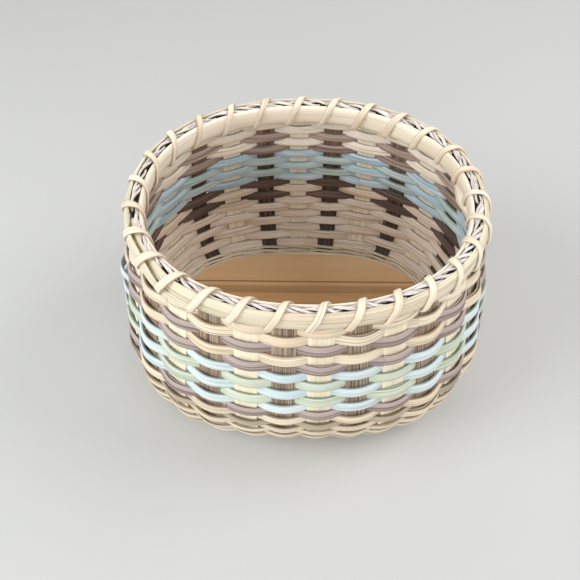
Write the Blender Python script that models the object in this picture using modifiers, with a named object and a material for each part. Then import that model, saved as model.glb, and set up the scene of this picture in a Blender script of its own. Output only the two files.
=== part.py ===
"""Handwoven oval berry basket.

A grooved wooden base board holds the feet of flat upright spokes. Rows of flat
oval weavers go over one spoke and under the next, and the rim is a pair of bands
round the spoke tops with a cord between them, laced down by one long strip.

Metres, +Z up. The origin is at the middle of the board's underside, the basket's
long axis lies along X, and the rows are numbered from the rim down.
"""
import math

import bmesh
import bpy
import numpy as np
from mathutils import Vector

# Counts
SPOKE_COUNT = 28
ROW_COUNT = 20
BASE_ROW_COUNT = 2

# Outline of the board: half length along X, half width along Y, and the exponent
# that squares the oval
BOARD_HALF_LENGTH = 0.0945
BOARD_HALF_WIDTH = 0.0720
BOARD_EXPONENT = 2.80

# Middle of the wall, from the top edge of the rim down: how far it stands outside the
# board's edge along X and along Y, its height, and the oval's exponent there
RIM_FLARE_LENGTH = -0.0024
RIM_FLARE_WIDTH = 0.0086
RIM_HEIGHT = 0.1405
RIM_EXPONENT = 2.14
SHOULDER_FLARE_LENGTH = 0.0090
SHOULDER_FLARE_WIDTH = 0.0170
SHOULDER_HEIGHT = 0.0951
SHOULDER_EXPONENT = 2.17
BELLY_FLARE_LENGTH = 0.0158
BELLY_FLARE_WIDTH = 0.0233
BELLY_HEIGHT = 0.0531
BELLY_EXPONENT = 2.30
HEEL_FLARE_LENGTH = 0.0093
HEEL_FLARE_WIDTH = 0.0128
HEEL_HEIGHT = 0.0180
HEEL_EXPONENT = 2.62

# Base board and the groove in its edge
BOARD_THICKNESS = 0.0095
BOARD_EDGE_ROUND = 0.0010
BOARD_EDGE_DEGREES = 60.0
GROOVE_DEPTH = 0.0070
BOARD_OUTLINE_POINTS = 56

# Spokes
SPOKE_WIDTH = 0.0127
SPOKE_THICKNESS = 0.0010
SPOKE_SEAT_LENGTH = 0.0065
SPOKE_TOP_DROP = 0.0030
# Spokes stand closer together at the front (-Y) than at the back, and those at the
# back stand a little further round towards +X
SPOKE_SPACING_SHARE = 0.10
SPOKE_BACK_TURN_SHARE = 0.028
FIRST_SPOKE_SHARE = 0.42
# A spoke bends between these rows, as shares of all rows from the rim down
BEND_ROW_SHARES = (0.0, 0.2, 0.4, 0.55, 0.7, 0.8, 0.9, 0.95, 1.0)

# Weavers and the two thin rows above the board
WEAVER_THICKNESS = 0.0018
ROW_GAP = 0.0006
BASE_REED_DIAMETER = 0.0020
BASE_REED_RESOLUTION = 0
BASE_ROW_GAP = 0.0004
FOOT_GAP = 0.0032
# The spokes turn up this far outside the board's edge
FOOT_CLEARANCE = 0.0008
# How far past the spoke's edge a weaver stays straight, as a share of the gap
STRAIGHT_PAST_EDGE_SHARE = 0.15

# Rim
BAND_WIDTH = 0.0100
BAND_THICKNESS = 0.0023
BAND_EDGE_ROUND = 0.0007
BAND_THIN_END = 0.0004
RIM_ROW_THICKNESS = 0.0012
RIM_ROW_TOP_DROP = 0.0032
FILLER_RESOLUTION = 1
LACING_THICKNESS = 0.0010
LACING_SLACK = 0.0002
# The bands' ends overlap in a long scarf: where it starts, and its length, in spokes
SCARF_SPOKES = 3
OUTER_SCARF_START = 15
INNER_SCARF_START = 3

# Room between pieces that touch on the real basket
CLEARANCE = 0.0003
CUTTER_OVERRUN = 0.002
MERGE_DISTANCE = 0.000001

# How finely the shapes are worked out
PROFILE_STEPS = 400
PLAN_STEPS = 1440
PHASE_ROUNDS = 20
SEARCH_ROUNDS = 50
# Where each spoke is met by a strip that rounds the basket: before and after its middle
STATIONS_PER_SPOKE = 2
GROOVE_HEIGHT = BOARD_THICKNESS / 2.0

# Colour, roughness
FINISHES = {
    "natural_spoke": ((0.72, 0.58, 0.33), 0.62),
    "smoked_spoke": ((0.24, 0.18, 0.13), 0.66),
    "natural_reed": ((0.79, 0.66, 0.47), 0.58),
    "smoked_reed": ((0.30, 0.22, 0.17), 0.60),
    "blue_reed": ((0.50, 0.66, 0.70), 0.58),
    "sage_reed": ((0.60, 0.68, 0.58), 0.58),
    "rim_reed": ((0.78, 0.70, 0.50), 0.52),
    "filler_cord": ((0.60, 0.52, 0.48), 0.75),
    "base_wood": ((0.45, 0.26, 0.12), 0.48),
}

# Finish of each row from the rim down; the rows below these are natural reed
UPPER_ROW_FINISHES = (
    "natural_reed", "natural_reed", "smoked_reed", "natural_reed", "smoked_reed",
    "blue_reed", "sage_reed", "blue_reed", "sage_reed", "blue_reed",
    "smoked_reed", "natural_reed", "smoked_reed",
)


def clear_scene():
    for existing in list(bpy.data.objects):
        bpy.data.objects.remove(existing, do_unlink=True)


def make_collection(name):
    collection = bpy.data.collections.new(name)
    bpy.context.scene.collection.children.link(collection)
    return collection


def make_material(name):
    colour, roughness = FINISHES[name]
    material = bpy.data.materials.new(name)
    material.use_nodes = True
    shader = material.node_tree.nodes["Principled BSDF"]
    shader.inputs["Base Color"].default_value = (*colour, 1.0)
    shader.inputs["Roughness"].default_value = roughness
    shader.inputs["Metallic"].default_value = 0.0
    return material


def add_object(name, data, material, collection):
    data.materials.append(material)
    new_object = bpy.data.objects.new(name, data)
    collection.objects.link(new_object)
    return new_object


# The wall's shape

def wall_stations():
    """Half length, half width, height and exponent at the five heights, rim down."""
    flares = [
        (RIM_FLARE_LENGTH, RIM_FLARE_WIDTH, RIM_HEIGHT, RIM_EXPONENT),
        (SHOULDER_FLARE_LENGTH, SHOULDER_FLARE_WIDTH, SHOULDER_HEIGHT, SHOULDER_EXPONENT),
        (BELLY_FLARE_LENGTH, BELLY_FLARE_WIDTH, BELLY_HEIGHT, BELLY_EXPONENT),
        (HEEL_FLARE_LENGTH, HEEL_FLARE_WIDTH, HEEL_HEIGHT, HEEL_EXPONENT),
        (FOOT_CLEARANCE, FOOT_CLEARANCE, GROOVE_HEIGHT, BOARD_EXPONENT),
    ]
    return np.array([(BOARD_HALF_LENGTH + along, BOARD_HALF_WIDTH + across, height, exponent)
                     for along, across, height, exponent in flares])


def smooth_curve(stations, steps):
    """Points on a Catmull-Rom curve through the stations."""
    first = 2.0 * stations[0] - stations[1]
    last = 2.0 * stations[-1] - stations[-2]
    knots = np.vstack([first, stations, last])
    points = []
    for value in np.linspace(0.0, len(stations) - 1.0, steps):
        index = min(int(value), len(stations) - 2)
        t = value - index
        a, b, c, d = knots[index:index + 4]
        points.append(0.5 * (2.0 * b + (c - a) * t + (2.0 * a - 5.0 * b + 4.0 * c - d) * t ** 2
                             + (3.0 * b - 3.0 * c + d - a) * t ** 3))
    return np.array(points)


def wall_profile():
    """The wall's shape and its length down the wall, measured on the mean profile."""
    points = smooth_curve(wall_stations(), PROFILE_STEPS)
    mean_radius = (points[:, 0] + points[:, 1]) / 2.0
    steps = np.hypot(np.diff(mean_radius), np.diff(points[:, 2]))
    return points, np.concatenate([[0.0], np.cumsum(steps)])


PROFILE, PROFILE_LENGTH = wall_profile()
WALL_LENGTH = PROFILE_LENGTH[-1]

# Lengths down the wall from the rim's top edge
LACING_ROOM = LACING_THICKNESS + 2.0 * CLEARANCE
ROWS_START = BAND_WIDTH + LACING_ROOM
BASE_ROW_PITCH = BASE_REED_DIAMETER + BASE_ROW_GAP
ROWS_END = WALL_LENGTH - FOOT_GAP - BASE_ROW_COUNT * BASE_ROW_PITCH
ROW_PITCH = (ROWS_END - ROWS_START) / ROW_COUNT
WEAVER_WIDTH = ROW_PITCH - ROW_GAP


def wall_at(length):
    """Half length, half width, height and exponent at a length down the wall."""
    return [float(np.interp(length, PROFILE_LENGTH, column)) for column in PROFILE.T]


def plan_radius(angle, half_length, half_width, exponent):
    across = abs(math.cos(angle)) / half_length
    along = abs(math.sin(angle)) / half_width
    return (across ** exponent + along ** exponent) ** (-1.0 / exponent)


def plan_outline(half_length, half_width, exponent, count):
    """Points round the oval, evenly spaced along it, counter-clockwise from +X."""
    angles = np.linspace(0.0, 2.0 * math.pi, PLAN_STEPS + 1)
    radii = [plan_radius(angle, half_length, half_width, exponent) for angle in angles]
    x = radii * np.cos(angles)
    y = radii * np.sin(angles)
    length = np.concatenate([[0.0], np.cumsum(np.hypot(np.diff(x), np.diff(y)))])
    places = np.arange(count) / count * length[-1]
    return np.interp(places, length, x), np.interp(places, length, y)


def spoke_phases():
    """Each spoke's place round the rim, in radians of its outline's length."""
    phases = []
    for spoke in range(SPOKE_COUNT):
        target = 2.0 * math.pi * (spoke + FIRST_SPOKE_SHARE) / SPOKE_COUNT
        phase = target
        for _ in range(PHASE_ROUNDS):
            closer = SPOKE_SPACING_SHARE * math.cos(phase)
            turned = SPOKE_BACK_TURN_SHARE * (1.0 + math.sin(phase))
            phase = target - closer - turned
        phases.append(phase)
    return phases


def spoke_planes():
    """A point on the rim's oval and the outward and sideways directions, for each spoke."""
    half_length, half_width, _, exponent = wall_at(0.0)
    x, y = plan_outline(half_length, half_width, exponent, PLAN_STEPS)
    planes = []
    for phase in spoke_phases():
        place = int(round(phase / (2.0 * math.pi) * PLAN_STEPS)) % PLAN_STEPS
        before = (place - 1) % PLAN_STEPS
        after = (place + 1) % PLAN_STEPS
        sideways = Vector((x[after] - x[before], y[after] - y[before], 0.0)).normalized()
        outward = Vector((sideways.y, -sideways.x, 0.0))
        planes.append((Vector((x[place], y[place], 0.0)), outward, sideways))
    return planes


PLANES = spoke_planes()


def wall_point(spoke, length):
    """Where the spoke's upright plane meets the wall's middle, at a length down the wall."""
    half_length, half_width, height, exponent = wall_at(length)
    start, outward, _ = PLANES[spoke]
    low = -float(PROFILE[0, :2].min())
    high = float(PROFILE[:, :2].max())
    for _ in range(SEARCH_ROUNDS):
        middle = (low + high) / 2.0
        point = start + outward * middle
        edge = plan_radius(math.atan2(point.y, point.x), half_length, half_width, exponent)
        if point.length < edge:
            low = middle
        else:
            high = middle
    point = start + outward * low
    return Vector((point.x, point.y, height))


def bend_lengths():
    """Lengths down the wall where the spokes bend, each between two rows."""
    rows = sorted({int(round(share * ROW_COUNT)) for share in BEND_ROW_SHARES})
    bends = [ROWS_START + row * ROW_PITCH for row in rows]
    return [0.0] + bends + [WALL_LENGTH]


BEND_LENGTHS = bend_lengths()
BEND_POINTS = [[wall_point(spoke, length) for length in BEND_LENGTHS] for spoke in range(SPOKE_COUNT)]


def wall_frame(spoke, length):
    """Centre, outward normal, downward and sideways directions of the spoke at a length."""
    points = BEND_POINTS[spoke]
    place = int(np.searchsorted(BEND_LENGTHS, length, side="right")) - 1
    place = max(0, min(place, len(points) - 2))
    span = BEND_LENGTHS[place + 1] - BEND_LENGTHS[place]
    share = (length - BEND_LENGTHS[place]) / span
    centre = points[place].lerp(points[place + 1], share)
    downward = (points[place + 1] - points[place]).normalized()
    sideways = PLANES[spoke][2]
    outward = sideways.cross(downward).normalized()
    if outward.dot(PLANES[spoke][1]) < 0.0:
        outward.negate()
    return centre, outward, downward, sideways


def straight_reach(length):
    """How far from a spoke's middle the strips lying on it stay straight."""
    centres = [wall_frame(spoke, length)[0] for spoke in range(SPOKE_COUNT)]
    pitch = min((centres[spoke] - centres[spoke - 1]).length for spoke in range(SPOKE_COUNT))
    return SPOKE_WIDTH / 2.0 + STRAIGHT_PAST_EDGE_SHARE * (pitch - SPOKE_WIDTH)


def ring_stations(length, side_of_spoke, offset):
    """Points of a strip that rounds the basket, two for each spoke, offset to its side.

    side_of_spoke gives 1 where the strip passes outside the spoke and -1 inside it.
    Returns (point, outward, downward) for each station.
    """
    reach = straight_reach(length)
    stations = []
    for spoke in range(SPOKE_COUNT):
        centre, outward, downward, sideways = wall_frame(spoke, length)
        shifted = centre + outward * (side_of_spoke(spoke) * offset)
        stations.append((shifted - sideways * reach, outward, downward))
        stations.append((shifted + sideways * reach, outward, downward))
    return stations


# Mesh and curve helpers

def ribbon(name, left_rail, right_rail, thickness, closed, material, collection):
    """A strip between two rails, given its thickness by Solidify."""
    mesh = bpy.data.meshes.new(name)
    form = bmesh.new()
    left = [form.verts.new(point) for point in left_rail]
    right = [form.verts.new(point) for point in right_rail]
    count = len(left)
    for place in range(count if closed else count - 1):
        after = (place + 1) % count
        form.faces.new((left[place], left[after], right[after], right[place]))
    form.to_mesh(mesh)
    form.free()
    strip = add_object(name, mesh, material, collection)
    solidify = strip.modifiers.new("thickness", "SOLIDIFY")
    solidify.thickness = thickness
    solidify.offset = 0.0
    solidify.use_even_offset = True
    solidify.use_quality_normals = True
    return strip


def loft(name, sections, material, collection):
    """A closed solid through a row of unlike sections with as many corners each."""
    mesh = bpy.data.meshes.new(name)
    form = bmesh.new()
    rings = [[form.verts.new(point) for point in section] for section in sections]
    corners = len(rings[0])
    for ring, following in zip(rings, rings[1:]):
        for corner in range(corners):
            after = (corner + 1) % corners
            form.faces.new((ring[corner], ring[after], following[after], following[corner]))
    form.faces.new(list(reversed(rings[0])))
    form.faces.new(rings[-1])
    bmesh.ops.recalc_face_normals(form, faces=form.faces)
    form.to_mesh(mesh)
    form.free()
    return add_object(name, mesh, material, collection)


def closed_tube(name, points, radius, resolution, material, collection):
    """A round reed bent into a ring through the points."""
    curve = bpy.data.curves.new(name, "CURVE")
    curve.dimensions = "3D"
    curve.bevel_depth = radius
    curve.bevel_resolution = resolution
    curve.use_fill_caps = True
    spline = curve.splines.new("POLY")
    spline.points.add(len(points) - 1)
    for place, point in enumerate(points):
        spline.points[place].co = (*point, 1.0)
    spline.use_cyclic_u = True
    return add_object(name, curve, material, collection)


def plate(name, outlines, thickness, material, collection):
    """A flat piece from one outline, or from an outline and the hole in it, as a mesh."""
    curve = bpy.data.curves.new(name + "_outline", "CURVE")
    curve.dimensions = "2D"
    curve.fill_mode = "BOTH"
    curve.extrude = thickness / 2.0
    for x, y in outlines:
        spline = curve.splines.new("POLY")
        spline.points.add(len(x) - 1)
        for place in range(len(x)):
            spline.points[place].co = (x[place], y[place], 0.0, 1.0)
        spline.use_cyclic_u = True
    outline = bpy.data.objects.new(name + "_outline", curve)
    outline.location.z = GROOVE_HEIGHT
    collection.objects.link(outline)
    depsgraph = bpy.context.evaluated_depsgraph_get()
    mesh = bpy.data.meshes.new_from_object(outline.evaluated_get(depsgraph))
    form = bmesh.new()
    form.from_mesh(mesh)
    bmesh.ops.remove_doubles(form, verts=form.verts, dist=MERGE_DISTANCE)
    form.to_mesh(mesh)
    form.free()
    flat_piece = add_object(name, mesh, material, collection)
    flat_piece.matrix_world = outline.matrix_world
    bpy.data.objects.remove(outline, do_unlink=True)
    return flat_piece


# The pieces

def board_outline(inset):
    return plan_outline(BOARD_HALF_LENGTH - inset, BOARD_HALF_WIDTH - inset, BOARD_EXPONENT,
                        BOARD_OUTLINE_POINTS)


def base_board(materials, parts, cutters):
    board = plate("base_board", [board_outline(0.0)], BOARD_THICKNESS, materials["base_wood"], parts)
    edges = board.modifiers.new("eased_edges", "BEVEL")
    edges.width = BOARD_EDGE_ROUND
    edges.segments = 1
    edges.limit_method = "ANGLE"
    edges.angle_limit = math.radians(BOARD_EDGE_DEGREES)
    groove_width = SPOKE_THICKNESS + 2.0 * CLEARANCE
    rings = [board_outline(-CUTTER_OVERRUN), board_outline(GROOVE_DEPTH)]
    cutter = plate("groove_cutter", rings, groove_width, materials["base_wood"], cutters)
    cutter.hide_render = True
    cutter.display_type = "WIRE"
    groove = board.modifiers.new("edge_groove", "BOOLEAN")
    groove.operation = "DIFFERENCE"
    groove.solver = "EXACT"
    groove.object = cutter


def spoke_strip(spoke, materials, parts):
    """One upright: seated in the groove, bent up through the rows and cut off in the rim."""
    name = "spoke_%02d" % (spoke + 1)
    outward, sideways = PLANES[spoke][1:]
    centres = list(BEND_POINTS[spoke])
    rim_share = SPOKE_TOP_DROP / BEND_LENGTHS[1]
    centres[0] = centres[0].lerp(centres[1], rim_share)
    centres.append(centres[-1] - outward * SPOKE_SEAT_LENGTH)
    half = sideways * (SPOKE_WIDTH / 2.0)
    left = [centre - half for centre in centres]
    right = [centre + half for centre in centres]
    finish = "natural_spoke" if spoke % 2 else "smoked_spoke"
    ribbon(name, left, right, SPOKE_THICKNESS, False, materials[finish], parts)


def weaver_side(row):
    """Odd rows pass outside the natural spokes, even rows outside the smoked ones."""
    return lambda spoke: 1.0 if (spoke + row) % 2 == 0 else -1.0


def row_finish(row):
    if row <= len(UPPER_ROW_FINISHES):
        return UPPER_ROW_FINISHES[row - 1]
    return "natural_reed"


def weaver(row, materials, parts):
    """One row of flat oval reed, over one spoke and under the next."""
    length = ROWS_START + (row - 0.5) * ROW_PITCH
    offset = (SPOKE_THICKNESS + WEAVER_THICKNESS) / 2.0 + CLEARANCE
    stations = ring_stations(length, weaver_side(row), offset)
    upper = [point - downward * (WEAVER_WIDTH / 2.0) for point, _, downward in stations]
    lower = [point + downward * (WEAVER_WIDTH / 2.0) for point, _, downward in stations]
    material = materials[row_finish(row)]
    ribbon("weaver_%02d" % row, upper, lower, WEAVER_THICKNESS, True, material, parts)


def base_row(row, materials, parts):
    """A thin round reed row between the weavers and the board."""
    length = ROWS_END + (row - 0.5) * BASE_ROW_PITCH
    offset = (SPOKE_THICKNESS + BASE_REED_DIAMETER) / 2.0 + CLEARANCE
    stations = ring_stations(length, weaver_side(ROW_COUNT + row), offset)
    points = [point for point, _, _ in stations]
    closed_tube("base_row_%d" % row, points, BASE_REED_DIAMETER / 2.0, BASE_REED_RESOLUTION,
                materials["natural_reed"], parts)


def rim_row(materials, parts):
    """The flat row under the bands, which spaces them off the spokes."""
    offset = (SPOKE_THICKNESS + RIM_ROW_THICKNESS) / 2.0 + CLEARANCE
    stations = ring_stations(0.0, weaver_side(0), offset)
    upper = [point + downward * RIM_ROW_TOP_DROP for point, _, downward in stations]
    lower = [point + downward * BAND_WIDTH for point, _, downward in stations]
    ribbon("rim_row", upper, lower, RIM_ROW_THICKNESS, True, materials["natural_reed"], parts)


def band_inner_face():
    """Distance from the spokes' middle to the face of a band that lies on the rim row."""
    return SPOKE_THICKNESS / 2.0 + RIM_ROW_THICKNESS + 2.0 * CLEARANCE


def band_section(station, side, near, far):
    """Six corners of a flat oval strip that lies between two distances from the spokes."""
    point, outward, downward = station
    round_off = min(BAND_EDGE_ROUND, (far - near) / 2.0)
    shape = [(near, 0.0), (far - round_off, 0.0), (far, round_off),
             (far, BAND_WIDTH - round_off), (far - round_off, BAND_WIDTH), (near, BAND_WIDTH)]
    return [point + outward * (side * away) + downward * drop for away, drop in shape]


def rim_band(name, side, scarf_start, materials, parts):
    """A band on one side of the spokes, whose tapered ends overlap in a flush scarf."""
    stations = ring_stations(0.0, lambda spoke: side, 0.0)
    near = band_inner_face()
    far = near + BAND_THICKNESS
    scarf_steps = STATIONS_PER_SPOKE * SCARF_SPOKES - 1
    full_turn = STATIONS_PER_SPOKE * SPOKE_COUNT
    taper = BAND_THICKNESS - 2.0 * BAND_THIN_END - CLEARANCE
    sections = []
    for step in range(full_turn + scarf_steps + 1):
        station = stations[(STATIONS_PER_SPOKE * scarf_start + step) % full_turn]
        inner = near
        outer = far
        if step <= scarf_steps:
            inner = far - BAND_THIN_END - taper * step / scarf_steps
        if step >= full_turn:
            tail_step = step - full_turn
            outer = far - BAND_THIN_END - CLEARANCE - taper * tail_step / scarf_steps
        sections.append(band_section(station, side, inner, outer))
    loft(name, sections, materials["rim_reed"], parts)


def filler_diameter():
    return 2.0 * (band_inner_face() - CLEARANCE)


def filler_drop():
    """How far the cord's middle lies below the bands' top edge, on the spoke tops."""
    return SPOKE_TOP_DROP - CLEARANCE - filler_diameter() / 2.0


def rim_filler(materials, parts):
    """The cord that fills the trough between the bands."""
    stations = ring_stations(0.0, lambda spoke: 1.0, 0.0)
    points = [point + downward * filler_drop() for point, _, downward in stations]
    closed_tube("rim_filler", points, filler_diameter() / 2.0, FILLER_RESOLUTION,
                materials["filler_cord"], parts)


def rim_frame(position):
    """Point, outward, downward and sideways directions on the rim, at a place in spokes."""
    reach = straight_reach(0.0)
    spoke = math.floor(position + 0.5)
    here = wall_frame(spoke % SPOKE_COUNT, 0.0)
    step = 1 if position >= spoke else -1
    beside = wall_frame((spoke + step) % SPOKE_COUNT, 0.0)
    pitch = (beside[0] - here[0]).length
    away = abs(position - spoke) * pitch
    near_edge = here[0] + here[3] * (step * reach)
    if away <= reach:
        return here[0] + here[3] * (step * away), here[1], here[2], here[3]
    far_edge = beside[0] - beside[3] * (step * reach)
    share = (away - reach) / (pitch - 2.0 * reach)
    mixed = [here[place].lerp(beside[place], share).normalized() for place in (1, 2, 3)]
    return near_edge.lerp(far_edge, share), *mixed


def lacing_stops():
    """One turn of the lacing: outward distance, drop below the rim's top edge, and its
    progress towards the next gap between spokes."""
    half = LACING_THICKNESS / 2.0 + CLEARANCE
    reach = band_inner_face() + BAND_THICKNESS + half + LACING_SLACK
    crown = filler_drop() - filler_diameter() / 2.0 - half
    shoulder = -2.0 * CLEARANCE - LACING_SLACK
    crown_reach = filler_diameter() / 4.0
    middle = BAND_WIDTH / 2.0
    corners = [(reach, BAND_WIDTH + half), (reach, middle), (reach, shoulder),
               (crown_reach, crown), (-crown_reach, crown),
               (-reach, shoulder), (-reach, middle), (-reach, BAND_WIDTH + half)]
    steps = [math.dist(corner, after) for corner, after in zip(corners, corners[1:])]
    travelled = np.concatenate([[0.0], np.cumsum(steps)]) / sum(steps)
    return [(away, drop, share) for (away, drop), share in zip(corners, travelled)]


def lacing_width():
    """As wide as passes between the two spokes that stand closest at the rim."""
    centres = [wall_frame(spoke, 0.0)[0] for spoke in range(SPOKE_COUNT)]
    pitch = min((centres[spoke] - centres[spoke - 1]).length for spoke in range(SPOKE_COUNT))
    return pitch - SPOKE_WIDTH - 2.0 * CLEARANCE


def rim_lacing(materials, parts):
    """One long strip that winds round both bands and the cord, once in each gap."""
    half_width = lacing_width() / 2.0
    left = []
    right = []
    for turn in range(SPOKE_COUNT):
        for away, drop, share in lacing_stops():
            point, outward, downward, sideways = rim_frame(turn + 0.5 + share)
            middle = point + outward * away + downward * drop
            left.append(middle - sideways * half_width)
            right.append(middle + sideways * half_width)
    ribbon("rim_lacing", left, right, LACING_THICKNESS, False, materials["rim_reed"], parts)


def build_basket():
    parts = make_collection("berry_basket")
    cutters = make_collection("cutters")
    materials = {name: make_material(name) for name in FINISHES}
    base_board(materials, parts, cutters)
    for spoke in range(SPOKE_COUNT):
        spoke_strip(spoke, materials, parts)
    for row in range(1, ROW_COUNT + 1):
        weaver(row, materials, parts)
    for row in range(1, BASE_ROW_COUNT + 1):
        base_row(row, materials, parts)
    rim_row(materials, parts)
    rim_band("rim_outer", 1.0, OUTER_SCARF_START, materials, parts)
    rim_band("rim_inner", -1.0, INNER_SCARF_START, materials, parts)
    rim_filler(materials, parts)
    rim_lacing(materials, parts)


clear_scene()
build_basket()
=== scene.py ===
"""Looks of the oval berry basket: reed by reed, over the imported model."""

import math

import bmesh
import bpy
import numpy as np
from mathutils import Matrix, Vector

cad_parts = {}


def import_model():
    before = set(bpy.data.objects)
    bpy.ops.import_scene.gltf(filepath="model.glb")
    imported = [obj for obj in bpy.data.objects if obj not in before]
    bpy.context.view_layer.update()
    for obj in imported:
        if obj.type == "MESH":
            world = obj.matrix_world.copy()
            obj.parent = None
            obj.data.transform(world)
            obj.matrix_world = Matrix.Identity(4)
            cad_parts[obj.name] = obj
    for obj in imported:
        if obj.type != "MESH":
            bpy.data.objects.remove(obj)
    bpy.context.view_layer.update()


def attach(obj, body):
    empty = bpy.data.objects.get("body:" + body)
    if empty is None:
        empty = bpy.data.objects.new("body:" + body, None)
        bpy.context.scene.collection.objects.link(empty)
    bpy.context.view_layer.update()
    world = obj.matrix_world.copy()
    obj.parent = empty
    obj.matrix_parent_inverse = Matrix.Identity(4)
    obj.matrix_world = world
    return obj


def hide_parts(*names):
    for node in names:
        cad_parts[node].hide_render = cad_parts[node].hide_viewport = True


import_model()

MM = 0.001
SPOKES = 28
ROWS = 20
BASE_ROWS = 2
TURN = 2.0 * math.pi

# The wall's middle surface, from the rim's top edge to the board: half length, half
# width, height (mm) and the exponent that squares the oval
WALL = np.array([
    (92.1, 80.6, 140.5, 2.14),
    (103.5, 89.0, 95.1, 2.17),
    (110.3, 95.3, 53.1, 2.30),
    (103.8, 84.8, 18.0, 2.62),
    (95.3, 72.8, 4.75, 2.80),
])
BOARD_HALF_LENGTH = 94.5
BOARD_HALF_WIDTH = 72.0
BOARD_EXPONENT = 2.80
BOARD_THICKNESS = 9.5
GROOVE_HEIGHT = 4.75
GROOVE_DEPTH = 7.0
GROOVE_HALF_WIDTH = 0.8

# The spokes: how much closer they stand at the front, how far those at the back are turned,
# the place of the first, and their sizes in mm
SPACING = 0.10
BACK_TURN = 0.028
FIRST_SPOKE = 0.42
SPOKE_WIDTH = 12.7
SPOKE_THICKNESS = 0.9
SPOKE_SEAT = 6.5
SPOKE_TOP = 3.0

# The rim and the rows, in mm; the inner band's lean is a slope
OUTER_BAND_WIDTH = 9.5
INNER_BAND_WIDTH = 12.7
INNER_BAND_LEAN = 0.13
BAND_RAISE = 0.9
BAND_THICKNESS = 2.6
BAND_INNER = 2.3
ROWS_START = 11.6
BASE_ROW_PITCH = 2.4
FOOT_GAP = 3.2
BASE_REED = 2.2

WEAVER_WIDTH = 6.6
WEAVER_THICKNESS = 2.0

# How far the rows lie below or above their even places, in mm, at the front and the back
FRONT_SHIFT = [-1.8, -1.2, -0.8, 0.4, 0.4, 0.7, 1.2, 1.4, 1.2, 1.0, 0.5, 0.0, -0.5, -0.6, -0.4,
               -0.2, 0.0, 0.0, 0.0, 0.0]
BACK_SHIFT = [1.6, 1.5, 1.1, 0.7, 0.2, -0.1, -0.1, 0.0, 0.1, 0.4, 0.8, 0.9, 0.7, 0.2, -0.2,
              -0.5, -0.8, -1.0, -0.9, -0.4]
# Loops that stand off: row and spoke, and how far out their middle lies
LOOPS = {(6, 14): 4.9, (8, 14): 3.2, (3, 15): 3.2, (12, 0): 3.4, (4, 26): 3.0, (7, 27): 2.8}

# How finely the shapes are worked out
PROFILE_STEPS = 400
OVAL_STEPS = 2880
PHASE_ROUNDS = 25
TANGENT_STEP = TURN / 720.0
SEARCH_ROUNDS = 36
SEARCH_REACH = 70.0
DOWN_STEP = 0.8
SIDE_STEP = 0.02

rng = np.random.default_rng(41)


# Shape of the wall

def smooth_curve(stations, steps):
    """Evenly stepped points on a Catmull-Rom curve through the stations."""
    first = 2.0 * stations[0] - stations[1]
    last = 2.0 * stations[-1] - stations[-2]
    knots = np.vstack([first, stations, last])
    points = []
    for value in np.linspace(0.0, len(stations) - 1.0, steps):
        index = min(int(value), len(stations) - 2)
        t = value - index
        a, b, c, d = knots[index:index + 4]
        points.append(0.5 * (2.0 * b + (c - a) * t + (2.0 * a - 5.0 * b + 4.0 * c - d) * t ** 2
                             + (3.0 * b - 3.0 * c + d - a) * t ** 3))
    return np.array(points)


PROFILE = smooth_curve(WALL, PROFILE_STEPS)
MEAN_RADIUS = (PROFILE[:, 0] + PROFILE[:, 1]) / 2.0
PROFILE_LENGTH = np.concatenate([[0.0], np.cumsum(np.hypot(np.diff(MEAN_RADIUS),
                                                           np.diff(PROFILE[:, 2])))])
WALL_LENGTH = float(PROFILE_LENGTH[-1])
ROWS_END = WALL_LENGTH - FOOT_GAP - BASE_ROWS * BASE_ROW_PITCH
ROW_PITCH = (ROWS_END - ROWS_START) / ROWS


def wall_at(length):
    return [np.interp(length, PROFILE_LENGTH, PROFILE[:, place]) for place in range(4)]


def oval(half_length, half_width, exponent, count):
    """Points evenly spaced round an oval, counter-clockwise from +X, the first repeated."""
    angles = np.linspace(0.0, TURN, OVAL_STEPS + 1)
    radii = (np.abs(np.cos(angles) / half_length) ** exponent
             + np.abs(np.sin(angles) / half_width) ** exponent) ** (-1.0 / exponent)
    x = radii * np.cos(angles)
    y = radii * np.sin(angles)
    length = np.concatenate([[0.0], np.cumsum(np.hypot(np.diff(x), np.diff(y)))])
    places = np.linspace(0.0, length[-1], count + 1)
    return np.interp(places, length, x), np.interp(places, length, y)


RIM_X, RIM_Y = oval(WALL[0, 0], WALL[0, 1], WALL[0, 3], OVAL_STEPS)
RIM_PHASES = np.linspace(0.0, TURN, OVAL_STEPS + 1)


def plane(u):
    """A point on the rim and the outward direction there, for places counted in spokes."""
    target = TURN * (np.asarray(u, float) + FIRST_SPOKE) / SPOKES
    phase = target
    for _ in range(PHASE_ROUNDS):
        phase = target - SPACING * np.cos(phase) - BACK_TURN * (1.0 + np.sin(phase))
    phase = np.mod(phase, TURN)

    def rim(value):
        value = np.mod(value, TURN)
        return np.stack([np.interp(value, RIM_PHASES, RIM_X),
                         np.interp(value, RIM_PHASES, RIM_Y)], -1)

    along = rim(phase + TANGENT_STEP) - rim(phase - TANGENT_STEP)
    along /= np.linalg.norm(along, axis=-1, keepdims=True)
    return rim(phase), np.stack([along[..., 1], -along[..., 0]], -1)


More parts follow.
